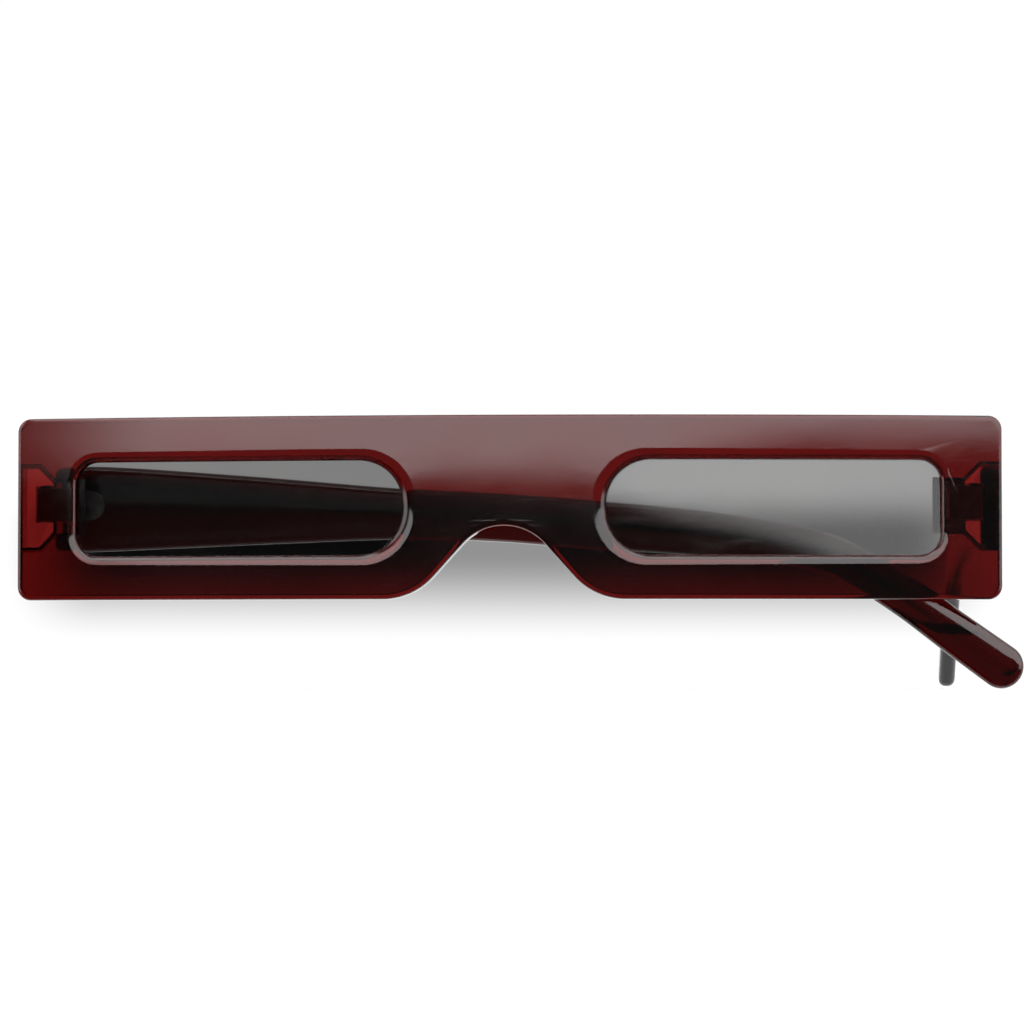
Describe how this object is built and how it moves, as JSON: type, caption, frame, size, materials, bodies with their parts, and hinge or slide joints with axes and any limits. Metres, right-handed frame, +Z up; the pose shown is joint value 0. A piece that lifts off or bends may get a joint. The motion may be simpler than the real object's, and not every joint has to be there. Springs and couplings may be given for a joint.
{
  "type": "flat top sunglasses",
  "caption": "Flat top sunglasses: a straight, thick plastic front with two narrow tinted lenses and two folding temples on small metal hinges.",
  "frame": {"origin": "crown of the nose arch, in the middle of the front's thickness", "axes": "+X to the viewer's right as the front is looked at, +Y from the front towards the temple tips of an open pair, +Z up as worn"},
  "size_m": [0.1473, 0.1551, 0.0396],
  "materials": {
    "frame_plastic": "polished translucent deep red",
    "lens_tint": "polished neutral smoke tint",
    "hinge_metal": "plain nickel",
    "screw_metal": "bright nickel"
  },
  "bodies": {
    "front": {"front_frame": "frame_plastic", "lens_left": "lens_tint", "lens_right": "lens_tint", "hinge_front_leaf_left": "hinge_metal", "hinge_front_leaf_right": "hinge_metal", "hinge_screw_left": "screw_metal", "hinge_screw_right": "screw_metal"},
    "left_temple": {"temple_left": "frame_plastic", "hinge_temple_leaf_left": "hinge_metal"},
    "right_temple": {"temple_right": "frame_plastic", "hinge_temple_leaf_right": "hinge_metal"}
  },
  "joints": [
    {"name": "left_temple_hinge", "type": "hinge", "parent": "front", "child": "left_temple", "pos_m": [-0.068, 0.00995, 0], "axis": [0, 0, 1], "range_deg": [0, 91.45]},
    {"name": "right_temple_hinge", "type": "hinge", "parent": "front", "child": "right_temple", "pos_m": [0.068, 0.00995, 0], "axis": [0, 0, 1], "range_deg": [0, 88.6]}
  ]
}
